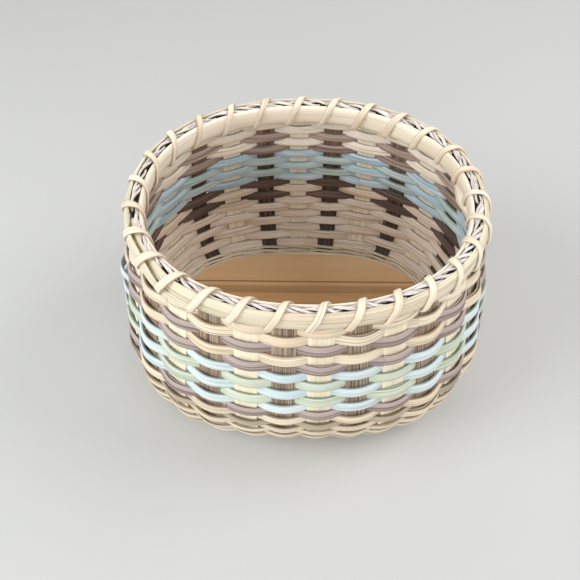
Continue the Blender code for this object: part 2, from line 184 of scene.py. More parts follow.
def wall_point(u, length):
    """Points of the wall's middle surface, in mm."""
    u, length = np.broadcast_arrays(np.asarray(u, float), np.asarray(length, float))
    start, outward = plane(u)
    half_length, half_width, height, exponent = wall_at(length)
    low = np.full(u.shape, -SEARCH_REACH)
    high = np.full(u.shape, SEARCH_REACH)
    for _ in range(SEARCH_ROUNDS):
        middle = (low + high) / 2.0
        x = start[..., 0] + outward[..., 0] * middle
        y = start[..., 1] + outward[..., 1] * middle
        inside = ((np.abs(x) / half_length) ** exponent
                  + (np.abs(y) / half_width) ** exponent < 1.0)
        low = np.where(inside, middle, low)
        high = np.where(inside, high, middle)
    return np.stack([start[..., 0] + outward[..., 0] * low,
                     start[..., 1] + outward[..., 1] * low, height], -1)


def unit(vectors):
    return vectors / np.linalg.norm(vectors, axis=-1, keepdims=True)


def square_to(path, vectors):
    """Unit vectors square to a path, as near as can be to the vectors."""
    return unit(vectors - path * np.sum(vectors * path, -1, keepdims=True))


def facing(vectors, toward):
    """The vectors, turned round where they point away from the others."""
    away = np.sum(vectors * toward, -1, keepdims=True) < 0.0
    return np.where(away, -vectors, vectors)


def wall_frame(u, length):
    """Point, outward and downward directions on the wall's middle surface."""
    point = wall_point(u, length)
    downward = unit(wall_point(u, length + DOWN_STEP) - wall_point(u, length - DOWN_STEP))
    sideways = unit(wall_point(u + SIDE_STEP, length) - wall_point(u - SIDE_STEP, length))
    outward = unit(np.cross(sideways, downward))
    return point, facing(outward, point * (1.0, 1.0, 0.0)), downward


def eased(share):
    return share * share * (3.0 - 2.0 * share)


def ramp_between(value, low, high):
    return eased(np.clip((value - low) / (high - low), 0.0, 1.0))


def stretch(value, start, full, fades, end):
    """One on a stretch, eased from and to zero at its ends."""
    return ramp_between(value, start, full) * (1.0 - ramp_between(value, fades, end))


# Random but fixed unevenness

OCTAVE_FADE = 0.6
WANDER_SPREAD = 2.2


def wander(places, period, amount, octaves=3):
    """A smooth wavy value round the basket, which closes after a period in spokes."""
    value = np.zeros(len(places))
    for octave in range(octaves):
        for cycles in range(2 ** octave, 2 ** octave + 3):
            weight = rng.normal() / (1.0 + OCTAVE_FADE * octave)
            value += weight * np.sin(TURN * cycles * places / period + rng.uniform(0.0, TURN))
    return amount * value / WANDER_SPREAD


def per_spoke(places, values):
    """Values kept at whole spokes and eased from one to the next."""
    base = np.floor(places).astype(int)
    share = eased(places - base)
    count = len(values)
    return values[base % count] * (1.0 - share) + values[(base + 1) % count] * share


# Meshes

# How square the reeds' edges are, and how far a band's round and flat faces stand from its
# middle, as shares of half its thickness
EDGE_FULLNESS = 2.6
BAND_CROWN = 1.65
BAND_FLAT = 0.35
# The reed's map, in units per mm
MAP_SCALE = 0.01


def flat_oval(points, outer, inner):
    """Corners of a strip's section: across from -1 to 1, and through, outer side first."""
    angles = np.linspace(0.0, TURN, points, endpoint=False)
    across = np.sign(np.cos(angles)) * np.abs(np.cos(angles)) ** (2.0 / EDGE_FULLNESS)
    power = np.where(np.sin(angles) > 0.0, outer, inner)
    through = np.sign(np.sin(angles)) * np.abs(np.sin(angles)) ** (2.0 / power)
    return np.stack([across, through], -1)


REED_SECTION = flat_oval(16, 3.0, 4.0)
SPOKE_SECTION = flat_oval(14, 7.0, 7.0)
BAND_SECTION = flat_oval(20, 2.2, 6.0)
BAND_SECTION[:, 1] *= np.where(BAND_SECTION[:, 1] > 0.0, BAND_CROWN, BAND_FLAT)
LACING_SECTION = flat_oval(12, 2.2, 4.0)
ROUND_SECTION = flat_oval(10, 2.0, 2.0)


def outward_faces(mesh):
    """Turns a closed mesh's faces outward."""
    form = bmesh.new()
    form.from_mesh(mesh)
    if form.calc_volume(signed=True) < 0.0:
        bmesh.ops.reverse_faces(form, faces=form.faces)
        form.to_mesh(mesh)
    form.free()


def new_object(name, mesh, material, sharp=60.0):
    mesh.materials.append(material)
    mesh.shade_smooth()
    mesh.set_sharp_from_angle(angle=math.radians(sharp))
    outward_faces(mesh)
    made = bpy.data.objects.new(name, mesh)
    bpy.context.scene.collection.objects.link(made)
    return made


def ring_faces(rings, corners, count):
    """Faces from each ring of corners to the next, where the last can join the first."""
    ring = np.arange(rings)[:, None]
    corner = np.arange(corners)[None, :]
    following = (corner + 1) % corners
    after = (ring + 1) % count
    faces = np.stack([ring * corners + corner, ring * corners + following,
                      after * corners + following, after * corners + corner], -1)
    return [list(face) for face in faces.reshape(-1, 4)]


def strip(name, centres, through, across, half_thick, half_wide, section, material,
          closed=False, along_start=0.0):
    """A reed along its centre line; all in mm. Its map runs along and round the reed."""
    count = len(centres)
    corners = len(section)
    half_thick = np.broadcast_to(half_thick, count)
    half_wide = np.broadcast_to(half_wide, count)
    grid = (centres[:, None, :]
            + across[:, None, :] * (section[None, :, 0] * half_wide[:, None])[..., None]
            + through[:, None, :] * (section[None, :, 1] * half_thick[:, None])[..., None])
    vertices = (grid * MM).reshape(-1, 3)
    rings = count if closed else count - 1
    ring = np.arange(rings)[:, None]
    corner = np.arange(corners)[None, :]
    steps = np.linalg.norm(np.diff(centres, axis=0), axis=-1)
    if closed:
        steps = np.append(steps, np.linalg.norm(centres[0] - centres[-1]))
    along = along_start + np.concatenate([[0.0], np.cumsum(steps)])
    turns = np.vstack([section, section[:1]])
    mean_sizes = np.array([float(np.mean(half_wide)), float(np.mean(half_thick))])
    sides = np.linalg.norm(np.diff(turns * mean_sizes, axis=0), axis=-1)
    around = np.concatenate([[0.0], np.cumsum(sides)])
    s = np.stack([along[ring], along[ring], along[ring + 1], along[ring + 1]], -1)
    s = np.broadcast_to(s, (rings, corners, 4))
    # The map's second value is negative on the inner face, so that the faces can differ
    behind = np.where(corner >= corners // 2, around[-1], 0.0)
    t = np.stack([around[corner], around[corner + 1], around[corner + 1], around[corner]], -1)
    t = np.broadcast_to(t - behind[..., None], (rings, corners, 4))
    uv = np.stack([s, t], -1).reshape(-1, 2)
    loops = ring_faces(rings, corners, count)
    if not closed:
        loops.append(list(range(corners))[::-1])
        loops.append([(count - 1) * corners + place for place in range(corners)])
        first = np.stack([np.full(corners, along[0]), around[:-1][::-1]], -1)
        last = np.stack([np.full(corners, along[-1]), around[:-1]], -1)
        uv = np.vstack([uv, first, last])
    mesh = bpy.data.meshes.new(name)
    mesh.from_pydata([tuple(vertex) for vertex in vertices], [], loops)
    layer = mesh.uv_layers.new(name="reed")
    layer.data.foreach_set("uv", (uv * MAP_SCALE).astype(np.float32).ravel())
    mesh.update()
    return new_object(name, mesh, material)


# Materials

BLACK = (0.0, 0.0, 0.0, 1.0)
WHITE = (1.0, 1.0, 1.0, 1.0)
# A Mix node's colour sockets by number, since other kinds of mix have the same names
MIX_FIRST = 6
MIX_SECOND = 7
MIX_RESULT = 2


def rgb(red, green, blue):
    """A colour written as it looks on screen, from 0 to 255, as linear values."""
    values = []
    for value in (red, green, blue):
        value /= 255.0
        values.append(value / 12.92 if value <= 0.04045 else ((value + 0.055) / 1.055) ** 2.4)
    return (*values, 1.0)


def toned(colour, share, added=0.0):
    """A colour made darker or lighter."""
    return (*(share * value + added for value in colour[:3]), 1.0)


class Nodes:
    """Short forms for building a material's nodes."""

    def __init__(self, name):
        self.material = bpy.data.materials.new(name)
        self.material.use_nodes = True
        self.tree = self.material.node_tree
        self.shader = self.tree.nodes["Principled BSDF"]

    def link(self, source, target):
        self.tree.links.new(source, target)

    def put(self, value, target):
        """Sets a socket to a constant, or links it."""
        if isinstance(value, (float, int, tuple)):
            target.default_value = value
        else:
            self.link(value, target)

    def add(self, kind, **settings):
        node = self.tree.nodes.new(kind)
        for key, value in settings.items():
            setattr(node, key, value)
        return node

    def noise(self, vector, scale, detail, rough=0.55, distortion=0.0, shift=(0.0, 0.0, 0.0)):
        """Noise over a vector that is scaled on each axis and then moved."""
        mapping = self.add("ShaderNodeMapping")
        self.put(scale, mapping.inputs["Scale"])
        self.put(shift, mapping.inputs["Location"])
        self.link(vector, mapping.inputs["Vector"])
        node = self.add("ShaderNodeTexNoise")
        self.put(1.0, node.inputs["Scale"])
        self.put(detail, node.inputs["Detail"])
        self.put(rough, node.inputs["Roughness"])
        self.put(distortion, node.inputs["Distortion"])
        self.link(mapping.outputs["Vector"], node.inputs["Vector"])
        return node.outputs["Fac"]

    def ramp(self, value, stops):
        node = self.add("ShaderNodeValToRGB")
        elements = node.color_ramp.elements
        while len(elements) < len(stops):
            elements.new(0.5)
        for element, (position, colour) in zip(elements, stops):
            element.position = position
            element.color = colour
        self.link(value, node.inputs["Fac"])
        return node.outputs["Color"]

    def grey(self, value, low, high, dark=0.0, light=1.0):
        stops = [(low, (dark, dark, dark, 1.0)), (high, (light, light, light, 1.0))]
        return self.ramp(value, stops)

    def mix(self, factor, first, second, blend="MIX"):
        node = self.add("ShaderNodeMix", data_type="RGBA", blend_type=blend)
        self.put(factor, node.inputs["Factor"])
        self.put(first, node.inputs[MIX_FIRST])
        self.put(second, node.inputs[MIX_SECOND])
        return node.outputs[MIX_RESULT]

    def maths(self, operation, *values):
        node = self.add("ShaderNodeMath", operation=operation)
        for value, target in zip(values, node.inputs):
            self.put(value, target)
        return node.outputs[0]

    def times(self, first, second):
        return self.maths("MULTIPLY", first, second)

    def axes(self, vector):
        node = self.add("ShaderNodeSeparateXYZ")
        self.link(vector, node.inputs[0])
        return node.outputs

    def share(self, value, start, end):
        """How far a value is from the start to the end, from 0 to 1."""
        node = self.add("ShaderNodeMapRange")
        self.link(value, node.inputs["Value"])
        self.put(start, node.inputs["From Min"])
        self.put(end, node.inputs["From Max"])
        return node.outputs["Result"]

    def finished(self, colour, roughness, shine, relief, strength, distance):
        """The material, with a fine relief of the given strength and depth in metres."""
        node = self.add("ShaderNodeBump")
        self.put(strength, node.inputs["Strength"])
        self.put(distance, node.inputs["Distance"])
        self.link(relief, node.inputs["Height"])
        for value, name in ((colour, "Base Color"), (roughness, "Roughness"),
                            (shine, "Specular IOR Level"), (node.outputs["Normal"], "Normal")):
            self.put(value, self.shader.inputs[name])
        return self.material


# On the reed's map: half the step between its faces, where the painted shade along its edges
# ends, as shares of half_round, and how far the edge of the painted highlight strip wanders
FACE_CHANGE = 0.00001
LOW_EDGE_SHADE = 0.148
HIGH_EDGE_SHADE = 0.886
EDGE_WAVE = 0.016
# In metres: the heights between which the inner face's painted light near the rim begins,
# and the places along Y between which the front colour does
INNER_PAINTED_LIGHT_SPAN = (0.085, 0.108)
FRONT_SPAN = (-0.055, -0.078)


def reed_material(name, light, middle, dark, tint, threads=0.5, thread_colour=None, roughness=0.55,
                  fine=1.0, bump=0.25, streak=0.55, edge=0.0, inner=None, inner_share=0.6,
                  half_round=0.0, cut=1.0, front=None, inner_painted_light=None):
    """Split reed: long fibres, dark threads and slow changes of colour.

    Inner colours the inner face with a darker copy of the reed's colour, painted shade for the
    inside of the basket, and near the rim that face turns to a lighter colour, painted light.
    Edge is the share of a painted highlight: a paler strip by the upper edge of the outer face,
    with a dark grain line under it. Cut is the share by which both edges of the section are
    darker, painted shade between the strips, where half_round gives half the way round the
    section, in map units. Front is the colour that the reed turns to at the front of the
    basket."""
    nodes = Nodes(name)
    source = nodes.add("ShaderNodeUVMap", uv_map="reed").outputs["UV"]
    slow = nodes.noise(source, (2.6, 5.0, 1.0), 2.0, 0.5)
    patches = nodes.noise(source, (1.1, 3.0, 1.0), 1.0, 0.5, shift=(4.0, 9.0, 0.0))
    fibres = nodes.noise(source, (1.2, 130.0 * fine, 1.0), 4.0, 0.6)
    lines = nodes.noise(source, (1.6, 75.0 * fine, 1.0), 2.0, 0.5, shift=(7.0, 3.0, 0.0))
    body = nodes.ramp(slow, [(0.30, dark), (0.48, middle), (0.66, light)])
    grain = nodes.ramp(fibres, [(0.38, dark), (0.49, middle), (0.60, light)])
    colour = nodes.mix(streak, body, grain)
    colour = nodes.mix(nodes.times(nodes.grey(patches, 0.48, 0.62), 0.55), colour, tint)
    shade = thread_colour or toned(dark, 0.55)
    bright = toned(light, 0.8, 0.2)
    around = nodes.axes(source)["Y"]
    outer_face = nodes.share(around, -FACE_CHANGE, FACE_CHANGE)
    where = nodes.axes(nodes.add("ShaderNodeTexCoord").outputs["Object"])
    # Inner face: a darker copy for painted shade, turning lighter near the rim for painted light
    if inner:
        if inner_painted_light:
            inner = nodes.mix(nodes.share(where["Z"], *INNER_PAINTED_LIGHT_SPAN), inner, inner_painted_light)
        behind = nodes.share(around, FACE_CHANGE, -FACE_CHANGE)
        ribs = nodes.grey(lines, 0.36, 0.62, 0.95, 0.15)
        colour = nodes.mix(nodes.times(behind, inner_share), colour, inner)
        colour = nodes.mix(nodes.times(behind, 0.40), colour, ribs, "OVERLAY")
    if front:
        forward = nodes.share(where["Y"], *FRONT_SPAN)
        colour = nodes.mix(nodes.times(forward, 0.90), colour, front)
    colour = nodes.mix(nodes.times(nodes.grey(lines, 0.57, 0.70), threads), colour, shade)
    shown = nodes.times(nodes.grey(lines, 0.31, 0.43, 1.0, 0.0),
                        nodes.grey(outer_face, 0.0, 1.0, 0.30 * threads, 0.8 * threads))
    colour = nodes.mix(shown, colour, bright)
    height = nodes.maths("ABSOLUTE", around)
    # Painted shade: both edges of the section darker, for the shade between the strips
    if half_round:
        rim = toned(dark, 0.24)
        low = nodes.grey(height, 0.0, LOW_EDGE_SHADE * half_round, 0.95 * cut, 0.0)
        high = nodes.grey(height, HIGH_EDGE_SHADE * half_round, half_round, 0.0, 0.75 * cut)
        colour = nodes.mix(low, colour, rim)
        colour = nodes.mix(high, colour, rim)
    # Painted highlight: a paler strip by the upper edge of the outer face, with a dark grain line
    if edge:
        wavy = nodes.maths("MULTIPLY_ADD", slow, EDGE_WAVE, height)
        painted_highlight = nodes.grey(wavy, 0.050, 0.054)
        colour = nodes.mix(nodes.times(nodes.times(painted_highlight, outer_face), edge), colour, light)
        line = nodes.ramp(wavy, [(0.044, BLACK), (0.048, WHITE), (0.050, WHITE), (0.054, BLACK)])
        colour = nodes.mix(nodes.times(nodes.times(line, outer_face), 0.8 * edge), colour, shade)
    rough = nodes.grey(fibres, 0.3, 0.7, roughness + 0.08, roughness - 0.08)
    return nodes.finished(colour, rough, 0.35, fibres, bump, 0.0003)


def board_material():
    """Golden wood, painted lighter at the back, with a dark band and a thin dark line along it."""
    nodes = Nodes("board_wood")
    source = nodes.add("ShaderNodeTexCoord").outputs["Object"]
    rings = nodes.noise(source, (5.0, 130.0, 60.0), 4.0, 0.6, 0.4)
    fibres = nodes.noise(source, (30.0, 1500.0, 900.0), 3.0, 0.6)
    slow = nodes.noise(source, (6.0, 14.0, 10.0), 2.0, shift=(2.0, 1.0, 0.0))
    colour = nodes.ramp(rings, [(0.25, rgb(208, 148, 94)), (0.45, rgb(237, 180, 122)),
                                (0.60, rgb(243, 190, 132)), (0.75, rgb(249, 202, 148))])
    grain = nodes.ramp(fibres, [(0.3, rgb(190, 138, 92)), (0.7, rgb(248, 210, 164))])
    colour = nodes.mix(0.25, colour, grain)
    clouds = nodes.ramp(slow, [(0.3, rgb(204, 142, 92)), (0.7, rgb(244, 204, 154))])
    colour = nodes.mix(0.20, colour, clouds)
    across = nodes.axes(source)["Y"]

    def stripe(centre, half, soft):
        away = nodes.maths("ABSOLUTE", nodes.maths("SUBTRACT", across, centre))
        return nodes.share(away, half + soft, half)

    dark_band = nodes.times(stripe(0.0355, 0.0030, 0.0012), 0.45)
    colour = nodes.mix(dark_band, colour, rgb(122, 74, 40))
    # Painted light: the back of the board, which the light reaches past the front wall, paler
    painted_light_rear = nodes.times(nodes.share(across, 0.030, 0.060), 0.60)
    colour = nodes.mix(painted_light_rear, colour, rgb(254, 218, 170))
    thin_line = nodes.times(stripe(0.0430, 0.0003, 0.0005), 0.75)
    colour = nodes.mix(thin_line, colour, rgb(92, 56, 32))
    rough = nodes.grey(fibres, 0.3, 0.7, 0.55, 0.40)
    return nodes.finished(colour, rough, 0.4, fibres, 0.12, 0.0002)


def cord_material(name, dark, shade, middle, light):
    nodes = Nodes(name)
    source = nodes.add("ShaderNodeUVMap", uv_map="reed").outputs["UV"]
    fibres = nodes.noise(source, (7.0, 150.0, 1.0), 4.0, 0.65)
    slow = nodes.noise(source, (12.0, 12.0, 1.0), 3.0, shift=(3.0, 5.0, 0.0))
    colour = nodes.ramp(fibres, [(0.30, dark), (0.42, shade), (0.54, middle), (0.68, light)])
    colour = nodes.mix(0.30, colour, nodes.ramp(slow, [(0.38, shade), (0.58, light)]))
    return nodes.finished(colour, 0.8, 0.2, fibres, 0.5, 0.0004)


# Half the way round the section, in map units
REED_HALF_ROUND = 0.0745
LASH_HALF_ROUND = 0.046
# Smoked reed: its inner colours are painted shade and, near the rim, painted light
SMOKED = {"threads": 0.65, "edge": 0.7, "streak": 0.75, "half_round": REED_HALF_ROUND,
          "inner": rgb(73, 52, 44), "inner_share": 0.80, "inner_painted_light": rgb(182, 162, 150)}
SMOKED_TONES = (rgb(194, 178, 172), rgb(158, 138, 130), rgb(116, 96, 88), rgb(148, 124, 120))

# Each finish's inner colours: painted shade inside the basket, painted light near the rim
MATERIALS = {
    "natural_reed": reed_material(
        "natural_reed_grain", rgb(249, 241, 222), rgb(235, 219, 190), rgb(198, 172, 136),
        rgb(237, 212, 182), threads=0.55, streak=0.80, inner=rgb(228, 211, 200),
        inner_share=0.6, inner_painted_light=rgb(255, 247, 236), half_round=REED_HALF_ROUND),
    "smoked_reed": reed_material("smoked_reed_grain", *SMOKED_TONES, **SMOKED),
    "worn_smoked_reed": reed_material("worn_smoked_reed_grain", *SMOKED_TONES,
                                      **{**SMOKED, "edge": 0.0}, front=rgb(192, 177, 148)),
    "blue_reed": reed_material(
        "blue_reed_grain", rgb(236, 243, 240), rgb(218, 230, 228), rgb(182, 203, 208),
        rgb(198, 217, 226), threads=0.50, streak=0.75, inner=rgb(178, 207, 227),
        inner_share=0.75, half_round=REED_HALF_ROUND),
    "sage_reed": reed_material(
        "sage_reed_grain", rgb(228, 232, 212), rgb(206, 214, 190), rgb(170, 183, 162),
        rgb(193, 207, 193), threads=0.50, streak=0.75, inner=rgb(182, 205, 213),
        inner_share=0.75, half_round=REED_HALF_ROUND),
    "natural_spoke": reed_material(
        "natural_spoke_grain", rgb(254, 249, 230), rgb(248, 236, 205), rgb(234, 213, 174),
        rgb(250, 234, 208), fine=1.25, roughness=0.6, threads=0.22,
        thread_colour=rgb(186, 154, 112), bump=0.35, streak=0.62, inner=rgb(240, 226, 202),
        inner_share=0.6, inner_painted_light=rgb(255, 250, 236)),
    "smoked_spoke": reed_material(
        "smoked_spoke_grain", rgb(194, 174, 150), rgb(143, 123, 103), rgb(94, 76, 62),
        rgb(162, 134, 114), fine=1.25, roughness=0.62, threads=0.70,
        thread_colour=rgb(62, 48, 38), bump=0.4, streak=0.95, inner=rgb(40, 29, 24),
        inner_share=0.85, inner_painted_light=rgb(122, 100, 82)),
    "rim_reed": reed_material(
        "rim_reed_grain", rgb(236, 229, 206), rgb(221, 212, 184), rgb(194, 178, 142),
        rgb(225, 206, 182), threads=0.55, roughness=0.48, streak=0.8),
    # The inner band's reed: smoother, and painted light, paler than the outer band's reed
    "smooth_painted_light_rim_reed": reed_material(
        "smooth_painted_light_rim_reed_grain", rgb(255, 249, 234), rgb(252, 241, 220), rgb(240, 223, 194),
        rgb(251, 233, 214), threads=0.30, roughness=0.45, streak=0.50, bump=0.15),
    "rim_lash": reed_material(
        "rim_lash_grain", rgb(250, 240, 222), rgb(239, 225, 201), rgb(212, 187, 153),
        rgb(239, 213, 185), threads=0.55, roughness=0.50, streak=0.8,
        half_round=LASH_HALF_ROUND, cut=0.70),
    "filler_cord": cord_material("twisted_cord", rgb(98, 83, 78), rgb(192, 178, 172),
                                 rgb(237, 228, 222), rgb(252, 247, 241)),
    # Near-black: painted shade for the trough under the cord's strands
    "painted_shade_core": cord_material("painted_shade_core_fibre", rgb(16, 12, 11), rgb(24, 19, 17),
                               rgb(36, 29, 26), rgb(58, 49, 45)),
    "base_wood": board_material(),
}

# Finish of each row from the rim down; the rows below are natural
UPPER_ROWS = ["natural_reed", "natural_reed", "smoked_reed", "natural_reed", "smoked_reed",
              "blue_reed", "sage_reed", "blue_reed", "sage_reed", "blue_reed",
              "smoked_reed", "natural_reed", "smoked_reed"]


def joined(parts, name):
    bpy.ops.object.select_all(action="DESELECT")
    for made in parts:
        made.select_set(True)
    bpy.context.view_layer.objects.active = parts[0]
    bpy.ops.object.join()
    parts[0].name = name
    return parts[0]


def place(made, node, slot):
    """Lays a finished piece over its node."""
    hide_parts(node)
    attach(made, "root")
    return made


# Unevenness of the rows' heights, shared so that neighbours keep their room

SLOW_WAVE = 0.40
QUICK_WAVE = 0.22


def row_drift(u, length):
    """Two waves round the basket that change down the wall, in mm."""
    slow = SLOW_WAVE * np.sin(TURN * 2.0 * u / SPOKES + 0.6) * np.sin(length / 31.0 + 0.4)
    return slow + QUICK_WAVE * np.sin(TURN * 5.0 * u / SPOKES + 2.1 + length / 24.0)


def row_shift(u, row):
    back = 0.5 + 0.5 * np.sin(TURN * (u + FIRST_SPOKE) / SPOKES)
    return FRONT_SHIFT[row - 1] * (1.0 - back) + BACK_SHIFT[row - 1] * back


# Weavers

# Points from one spoke to the next
STEPS = 14
# Crests of the rows' swing, in mm: outside the spokes, inside them, and how much more they
# stand out near the loose spokes
OUTER_CREST = 1.60
INNER_CREST = 1.40
LOOSE_CREST = 0.7
LOOSE_SPOKES = (25.0, 16.0)
LOOSE_SPREAD = 1.7


def once_round(start, overlap, steps):
    """Places once round the basket and over the start, and how far each is from there."""
    count = int((SPOKES + overlap) * steps) + 1
    u = start + np.linspace(0.0, SPOKES + overlap, count)
    return u, u - start


def wave_bow(u, crest, fuller=0.06):
    """Swing of a reed before and behind the spokes, crest at one and -crest at the next."""
    cosine = np.cos(math.pi * u)
    return crest * (cosine + fuller * (cosine - cosine ** 3))


def crests_of(row):
    """How far the row's middle stands from the wall's middle at each spoke."""
    crests = np.empty(SPOKES)
    for index in range(SPOKES):
        if (index + row) % 2 == 0:
            loose = sum(math.exp(-((index - spot) / LOOSE_SPREAD) ** 2) for spot in LOOSE_SPOKES)
            crest = OUTER_CREST + rng.uniform(-0.10, 0.60) + LOOSE_CREST * loose
            crests[index] = LOOPS.get((row, index), crest)
        else:
            crests[index] = INNER_CREST + rng.uniform(-0.05, 0.20)
    return crests


# Where each row's overlapped ends lie, in spokes; those not named are spread round
END_PLACES = {2: 21.62, 5: 20.66, 3: 23.6, 19: 8.45, 6: 26.6, 4: 24.55}
FIRST_END = 3.41
END_SPREAD = 11.37
# The overlap and its easing, in spokes, and how much thinner the ends are, and how far each
# lies from the row's middle, as shares of the reed's thickness
OVERLAP = 2.0
LAP_EASE = 0.35
LAP_THINNING = 0.35
LAP_OFFSET = 0.34
# How far the reeds roll, in degrees: at random, behind the spokes and between them
RANDOM_ROLL = 3.0
INSIDE_ROLL = 6.0
BETWEEN_ROLL = 9.0
# The Y of the outward directions, turned round, between which the rolls fade at the front
ROLL_FADE = (0.1, 0.6)
# Random waves of the rows' heights, in mm, and of their widths, and how much wider the reed
# looks at the spokes, and once more between them, as shares
ROW_WANDER = 0.10
WIDTH_WANDER = 0.012
FULLER = 0.03
# Where the map of each row starts, in mm, so that no two rows have the same grain
GRAIN_STEP = 137.0
FINISHES = {13: "worn_smoked_reed"}


def weaver(row):
    """One row of flat oval reed, over one spoke and under the next, its ends overlapped."""
    finish = UPPER_ROWS[row - 1] if row <= len(UPPER_ROWS) else "natural_reed"
    start = END_PLACES.get(row, (row * END_SPREAD + FIRST_END) % SPOKES)
    u, travelled = once_round(start, OVERLAP, STEPS)
    length = ROWS_START + (row - 0.5) * ROW_PITCH
    lengths = length + row_drift(u, length) + row_shift(u, row) + wander(u, SPOKES, ROW_WANDER)
    point, outward, downward = wall_frame(u, lengths)
    crest = per_spoke(u, crests_of(row))
    parity = 1.0 if row % 2 == 0 else -1.0
    lap = (np.clip((travelled - SPOKES) / LAP_EASE, 0.0, 1.0)
           - np.clip((OVERLAP - travelled) / LAP_EASE, 0.0, 1.0))
    half_thick = WEAVER_THICKNESS / 2.0 * (1.0 - LAP_THINNING * np.abs(lap))
    offset = parity * wave_bow(u, crest) + lap * WEAVER_THICKNESS * LAP_OFFSET
    centres = point + outward * offset[:, None]
    between = np.sin(math.pi * u) ** 2
    inside = 0.5 - 0.5 * parity * np.cos(math.pi * u)
    away_from_front = 1.0 - ramp_between(-outward[:, 1], *ROLL_FADE)
    roll = np.radians(wander(u, SPOKES, RANDOM_ROLL)
                      - away_from_front * (INSIDE_ROLL * inside + BETWEEN_ROLL * between))
    path = unit(np.gradient(centres, axis=0))
    across = square_to(path, downward * np.cos(roll)[:, None] + outward * np.sin(roll)[:, None])
    through = facing(unit(np.cross(path, across)), outward)
    fuller = FULLER + FULLER * between
    half_wide = WEAVER_WIDTH / 2.0 * (1.0 + fuller + wander(u, SPOKES, WIDTH_WANDER))
    made = strip("weave_%02d" % row, centres, through, across, half_thick, half_wide,
                 REED_SECTION, MATERIALS[FINISHES.get(row, finish)],
                 along_start=row * GRAIN_STEP)
    return place(made, "weaver_%02d" % row, finish)


# The thin rows, in mm: how far each lies above its even place, how far the two reeds of a
# pair cross over, and their swing before and behind the spokes
BASE_ROW_RAISE = {1: 0.6, 2: 0.1}
PAIR_CROSSING = 0.45
PAIR_SWING = 1.65
# Where the pair's reeds start, in spokes
THIN_STARTS = {1: (15.4, 19.4), 2: (24.5, 28.5)}
# Their ends: easing in spokes, how far each steps aside in mm, and how much thinner they are
THIN_EASE = 0.5
THIN_STEP = 0.3
THIN_THINNING = 0.25


def base_row(row):
    """A pair of thin reeds, one before and one behind each spoke, that change places."""
    parts = []
    for pair, start in enumerate(THIN_STARTS[row]):
        u, travelled = once_round(start, 1.0, STEPS)
        length = ROWS_END + (row - 0.5) * BASE_ROW_PITCH - BASE_ROW_RAISE[row]
        parity = 1.0 if (ROWS + row + pair) % 2 == 0 else -1.0
        step = PAIR_CROSSING * parity * np.sin(math.pi * u)
        point, outward, downward = wall_frame(u, length + step + wander(u, SPOKES, 0.12))
        swing = parity * wave_bow(u, PAIR_SWING)
        rise = (np.clip((1.0 - travelled) / THIN_EASE, 0.0, 1.0)
                - np.clip((travelled - SPOKES) / THIN_EASE, 0.0, 1.0))
        aside = THIN_STEP * rise
        centres = point + outward * (swing - aside)[:, None] - downward * aside[:, None]
        path = unit(np.gradient(centres, axis=0))
        across = square_to(path, downward)
        thick = (BASE_REED / 2.0 * (1.0 - THIN_THINNING * np.abs(rise))
                 * (1.0 + wander(u, SPOKES, 0.04)))
        parts.append(strip("thin_row_%d_%d" % (row, pair), centres, np.cross(path, across), across,
                           thick, thick, ROUND_SECTION, MATERIALS["natural_reed"],
                           along_start=row * 211.0 + pair * 97.0))
    if row == BASE_ROWS:
        parts.append(foot_reed())
    return place(joined(parts, "thin_row_%d" % row), "base_row_%d" % row, "natural_reed")


# The reed at the foot, in mm: how far it lies above the wall's foot and inside, its radius
FOOT_REED_RAISE = 2.3
FOOT_REED_INSIDE = 1.75
FOOT_REED_RADIUS = 1.2
FOOT_REED_STEPS = 8


def foot_reed():
    """The reed that lies inside the spokes against the board's edge."""
    count = SPOKES * FOOT_REED_STEPS
    u = np.linspace(0.0, SPOKES, count, endpoint=False)
    point, outward, downward = wall_frame(u, np.full(count, WALL_LENGTH - FOOT_REED_RAISE))
    centres = point - outward * (FOOT_REED_INSIDE + wander(u, SPOKES, 0.08))[:, None]
    return strip("foot_reed", centres, outward, downward, FOOT_REED_RADIUS, FOOT_REED_RADIUS,
                 ROUND_SECTION, MATERIALS["natural_reed"], closed=True, along_start=777.0)


# A spoke's bend, in mm: how far above the wall's foot it starts and goes on, and how far in
# from the wall each point of the foot lies
BEND_START = 2.0
BEND_MIDDLE = 0.9
FOOT_PLACES = (0.7, 1.5, 3.0, SPOKE_SEAT)
# Points down the wall, how far a spoke sways in mm, and how far its width varies as a share
SPOKE_STEPS = 56
SPOKE_SWAY = 0.25
SPOKE_SPREAD = 0.02


